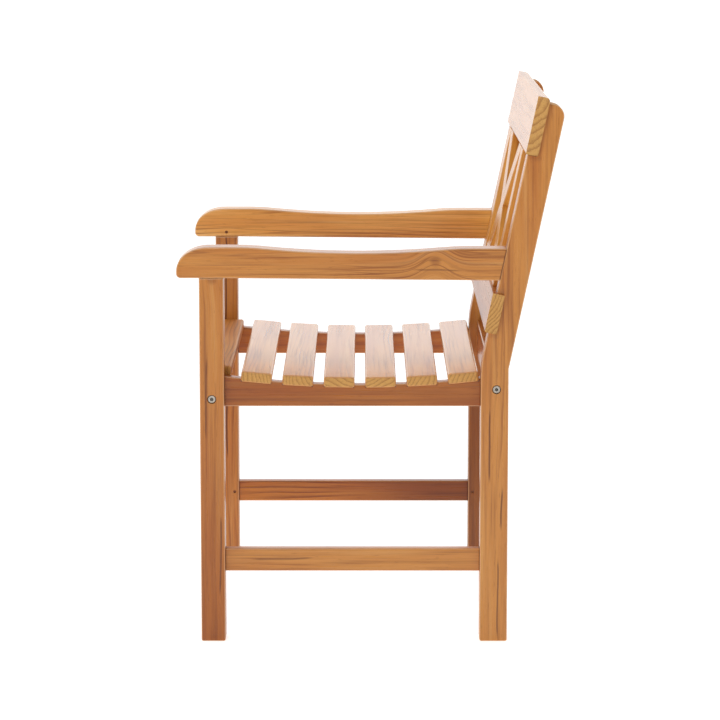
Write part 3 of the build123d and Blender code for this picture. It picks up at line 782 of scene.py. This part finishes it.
# %% Steel, with painted shade inside the socket
def steel(name):
    """Satin stainless steel, with painted shade inside the socket, where the attribute "socket" is
    1.
    """
    f = Finish(name)
    place = f.add("ShaderNodeTexCoord", {}, {}, "Object")
    grain = f.noise(place, (900, 900, 900), 3, 0.6)
    cloud = f.noise(place, (160, 160, 160), 2)
    inside = f.add("ShaderNodeAttribute", {"attribute_name": "socket"}, {}, "Fac")
    tint = f.mix(cloud, linear(206, 200, 190), linear(168, 160, 148))
    # painted shade: the inside of the socket darker and less metallic
    tint = f.mix(inside * 0.7, tint, linear(70, 60, 50))
    return f.surface(Base_Color=tint, Metallic=0.55 - inside * 0.4, Roughness=0.34 + grain * 0.2)


# %% Build the bolt tree
BOLT_INPUTS = [
    ("Head radius", "NodeSocketFloat"),
    ("Head thick", "NodeSocketFloat"),
    ("Rim", "NodeSocketFloat"),
    ("Socket radius", "NodeSocketFloat"),
    ("Socket deep", "NodeSocketFloat"),
    ("Shank radius", "NodeSocketFloat"),
    ("Shank long", "NodeSocketFloat"),
    ("Head top", "NodeSocketFloat"),
    ("Front", "NodeSocketVector"),
    ("Rear", "NodeSocketVector"),
    ("Material", "NodeSocketMaterial"),
]
ROUND_SIDES = 48
SOCKET_SIDES = 6
CUT_ABOVE = 0.001  # how far the cutter of the socket stands out of the head


def rod(tree, sides, lower, upper, long, end):
    """A tapered rod along z whose far end is at the given height."""
    cone = grow(tree, "GeometryNodeMeshCone", {}, {
        "Vertices": sides, "Radius Bottom": lower, "Radius Top": upper, "Depth": long})
    start = gmath(tree, "SUBTRACT", end, long)
    lift = gcombine(tree, z=start)
    return grow(tree, "GeometryNodeTransform", {}, {"Geometry": cone, "Translation": lift})


def marked(tree, geometry, value):
    """Stores whether these faces belong to the socket."""
    settings = {"data_type": "FLOAT", "domain": "FACE"}
    inputs = {"Geometry": geometry, "Name": "socket", "Value": value}
    return grow(tree, "GeometryNodeStoreNamedAttribute", settings, inputs)


def bolt_tree():
    """Four socket-head bolts, their heads on the outer faces of the legs."""
    tree = node_tree("leg_bolt_set", BOLT_INPUTS)
    given = tree.nodes.new("NodeGroupInput").outputs
    radius = given["Head radius"]
    rim = given["Rim"]
    body_top = gmath(tree, "MULTIPLY", rim, -1)
    body_long = gmath(tree, "SUBTRACT", given["Head thick"], rim)
    small = gmath(tree, "SUBTRACT", radius, rim)
    head = rod(tree, ROUND_SIDES, radius, radius, body_long, body_top)
    cap = rod(tree, ROUND_SIDES, radius, small, rim, 0.0)
    under = gmath(tree, "MULTIPLY", given["Head thick"], -1)
    thin = given["Shank radius"]
    shank = rod(tree, ROUND_SIDES, thin, thin, given["Shank long"], under)
    outer = tree.nodes.new("GeometryNodeJoinGeometry")
    for part in (head, cap, shank):
        tree.links.new(part, outer.inputs[0])
    wide = given["Socket radius"]
    cut_long = gmath(tree, "ADD", given["Socket deep"], CUT_ABOVE)
    cut = rod(tree, SOCKET_SIDES, wide, wide, cut_long, CUT_ABOVE)
    carve = tree.nodes.new("GeometryNodeMeshBoolean")
    carve.operation = "DIFFERENCE"
    carve.solver = "EXACT"
    carve.inputs["Self Intersection"].default_value = True
    tree.links.new(marked(tree, outer.outputs[0], 0.0), carve.inputs["Mesh 1"])
    tree.links.new(marked(tree, cut, 1.0), carve.inputs["Mesh 2"])

    # Bolts 0 and 1 hold the front rail and bolts 2 and 3 the rear one; odd ones are on the right.
    four = grow(tree, "GeometryNodeMeshLine", {}, {"Count": 4, "Offset": (0, 0, 0)})
    index = grow(tree, "GeometryNodeInputIndex", {}, {})
    odd = gmath(tree, "MODULO", index, 2)
    side = gmath(tree, "SUBTRACT", 1, gmath(tree, "MULTIPLY", odd, 2))
    is_rear = gmath(tree, "GREATER_THAN", index, 1.5)
    spot = grow(tree, "ShaderNodeMix", {"data_type": "VECTOR"},
                {0: is_rear, 4: given["Front"], 5: given["Rear"]}, 1)
    x = gcombine(tree, x=gmath(tree, "MULTIPLY", side, given["Head top"]))
    laid = grow(tree, "GeometryNodeSetPosition", {}, {
        "Geometry": four, "Position": gvector(tree, "ADD", spot, x)})
    lean = gmath(tree, "MULTIPLY", side, pi / 2)
    many = grow(tree, "GeometryNodeInstanceOnPoints", {}, {
        "Points": laid, "Instance": carve.outputs[0], "Rotation": gcombine(tree, y=lean)})
    real = grow(tree, "GeometryNodeRealizeInstances", {}, {"Geometry": many})
    return finish_tree(tree, real, given["Material"])


# %% Set the bolts and dress the rest of the steel
satin_steel = steel("satin_steel")
build(
    "leg_bolt_set",
    bolt_tree(),
    {
        "Head radius": 0.0064,
        "Head thick": 0.004,
        "Rim": 0.0008,
        "Socket radius": 0.0031,
        "Socket deep": 0.003,
        "Shank radius": 0.004,
        "Shank long": 0.076,
        "Head top": 0.3085,
        "Front": (0, -0.2555, 0.402),
        "Rear": (0, 0.206, 0.4181),
        "Material": satin_steel,
    },
    "steel",
    "leg_bolts",
)
for node in ("barrel_nuts", "seat_screws", "front_slat_screws", "board_screws"):
    dress(node, satin_steel)

# %% [markdown]
# ## Small wood
# The dowels, the draw-bore pins and the plugs share one teak, darkened by the same painted shade
# tint as the far pieces.

# %% Dress the small wood
small_wood = teak("teak_small", ALONG["deep"], (0, 0, 0), heart=(0.04, 0.05), seed=40, tint=PAINTED_DEEP_SHADE)
for node in ("rail_dowels", "joint_pins", "screw_plugs"):
    dress(node, small_wood)
